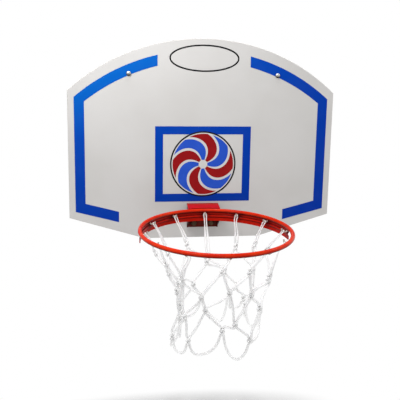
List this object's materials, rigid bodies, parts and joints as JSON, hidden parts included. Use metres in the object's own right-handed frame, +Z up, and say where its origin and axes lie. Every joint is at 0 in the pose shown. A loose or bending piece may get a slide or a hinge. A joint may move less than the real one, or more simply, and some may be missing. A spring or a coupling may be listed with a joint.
{
  "type": "basketball backboard",
  "caption": "Arched white wall backboard with blue border and target markings, a red fixed rim on a folded bracket and a white cord net.",
  "frame": {"origin": "midway between the two hanging holes, on the back face of the panel", "axes": "+X across the board to the viewer's right, +Y into the wall, +Z up; the front faces -Y"},
  "size_m": [0.6, 0.334, 0.6051],
  "materials": {
    "panel_white": "white painted fibreboard, satin",
    "marking_blue": "blue marking film, semi-gloss",
    "rim_red": "orange-red enamel paint, gloss",
    "bolt_steel": "zinc-plated steel",
    "net_white": "white braided cord"
  },
  "bodies": {
    "root": {"backboard_panel": "panel_white", "border_stripe_left": "marking_blue", "border_stripe_right": "marking_blue", "target_square": "marking_blue", "rim_ring": "rim_red", "rim_band": "rim_red", "bracket_channel": "rim_red", "bracket_top_plate": "rim_red", "bracket_bolts": "bolt_steel", "bracket_washers": "bolt_steel", "tee_nuts": "bolt_steel", "net_hook_01": "rim_red", "net_hook_02": "rim_red", "net_hook_03": "rim_red", "net_hook_04": "rim_red", "net_hook_05": "rim_red", "net_hook_06": "rim_red", "net_hook_07": "rim_red", "net_hook_08": "rim_red", "net_hook_09": "rim_red", "net_hook_10": "rim_red", "net_hook_11": "rim_red", "net_hook_12": "rim_red", "net_loop_01": "net_white", "net_loop_02": "net_white", "net_loop_03": "net_white", "net_loop_04": "net_white", "net_loop_05": "net_white", "net_loop_06": "net_white", "net_loop_07": "net_white", "net_loop_08": "net_white", "net_loop_09": "net_white", "net_loop_10": "net_white", "net_loop_11": "net_white", "net_loop_12": "net_white"}
  },
  "joints": []
}
